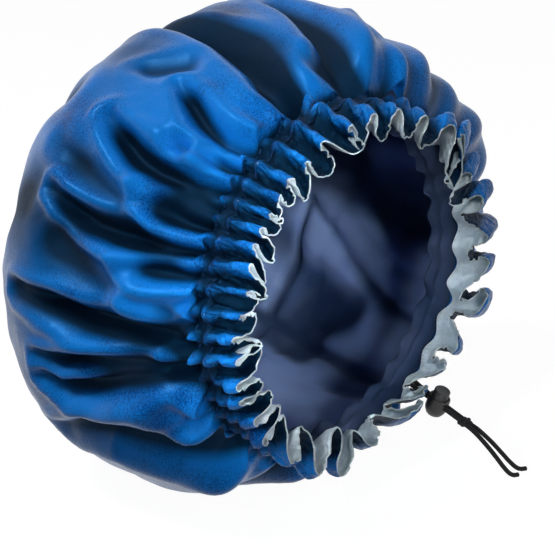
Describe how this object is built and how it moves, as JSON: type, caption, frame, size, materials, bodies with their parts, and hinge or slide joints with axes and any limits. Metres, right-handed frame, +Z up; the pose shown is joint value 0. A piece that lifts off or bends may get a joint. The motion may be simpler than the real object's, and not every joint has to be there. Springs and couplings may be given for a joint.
{
  "type": "hair bonnet",
  "caption": "Puffed double-layer satin hair bonnet lying on its side, with a pleated two-colour frill and an elastic drawcord with a spring cord lock.",
  "frame": {"origin": "on the table, in the flat patch that the bonnet rests on, under the crown's widest ring", "axes": "+Z up from the table, +Y along the bonnet's level axis towards the closed end of the crown, so the head opening faces -Y; +X to the side on which the cord comes out"},
  "size_m": [0.3115, 0.2776, 0.298],
  "materials": {
    "satin_blue": "glossy royal blue satin, fine weave, soft sheen",
    "satin_slate": "satin lining, slate navy with a lavender-grey sheen",
    "satin_pale": "satin facing, pale grey-blue",
    "thread_pale": "rolled hem thread, pale grey-blue",
    "thread_blue": "sewing thread, dark blue",
    "elastic_black": "braided round elastic cord, black, matte",
    "plastic_black": "moulded plastic, black, satin-matte",
    "spring_steel": "drawn spring wire"
  },
  "bodies": {
    "bonnet": {"outer_shell": "satin_blue", "crown_lining": "satin_slate", "frill_outer": "satin_blue", "frill_facing": "satin_pale", "frill_hem": "thread_pale", "casing_stitch_rear": "thread_blue", "casing_stitch_front": "thread_blue", "cord_buttonhole": "thread_blue", "drawcord_ring": "elastic_black", "cord_strand_a": "elastic_black", "cord_strand_b": "elastic_black", "cord_knot": "elastic_black", "cord_tail_a": "elastic_black", "cord_tail_b": "elastic_black"},
    "lock": {"lock_barrel": "plastic_black", "lock_spring": "spring_steel"},
    "plunger": {"lock_plunger": "plastic_black"}
  },
  "joints": [
    {"name": "lock_slide", "type": "slide", "parent": "bonnet", "child": "lock", "axis": [0.0872, -0.9308, -0.3549], "range_m": [-0.002, 0.008]},
    {"name": "plunger_press", "type": "slide", "parent": "lock", "child": "plunger", "axis": [-0.0331, 0.3533, -0.9349], "range_m": [0, 0.0025], "stiffness_N_per_m": 800, "springref_m": -0.001, "deforming": ["lock_spring"]}
  ]
}
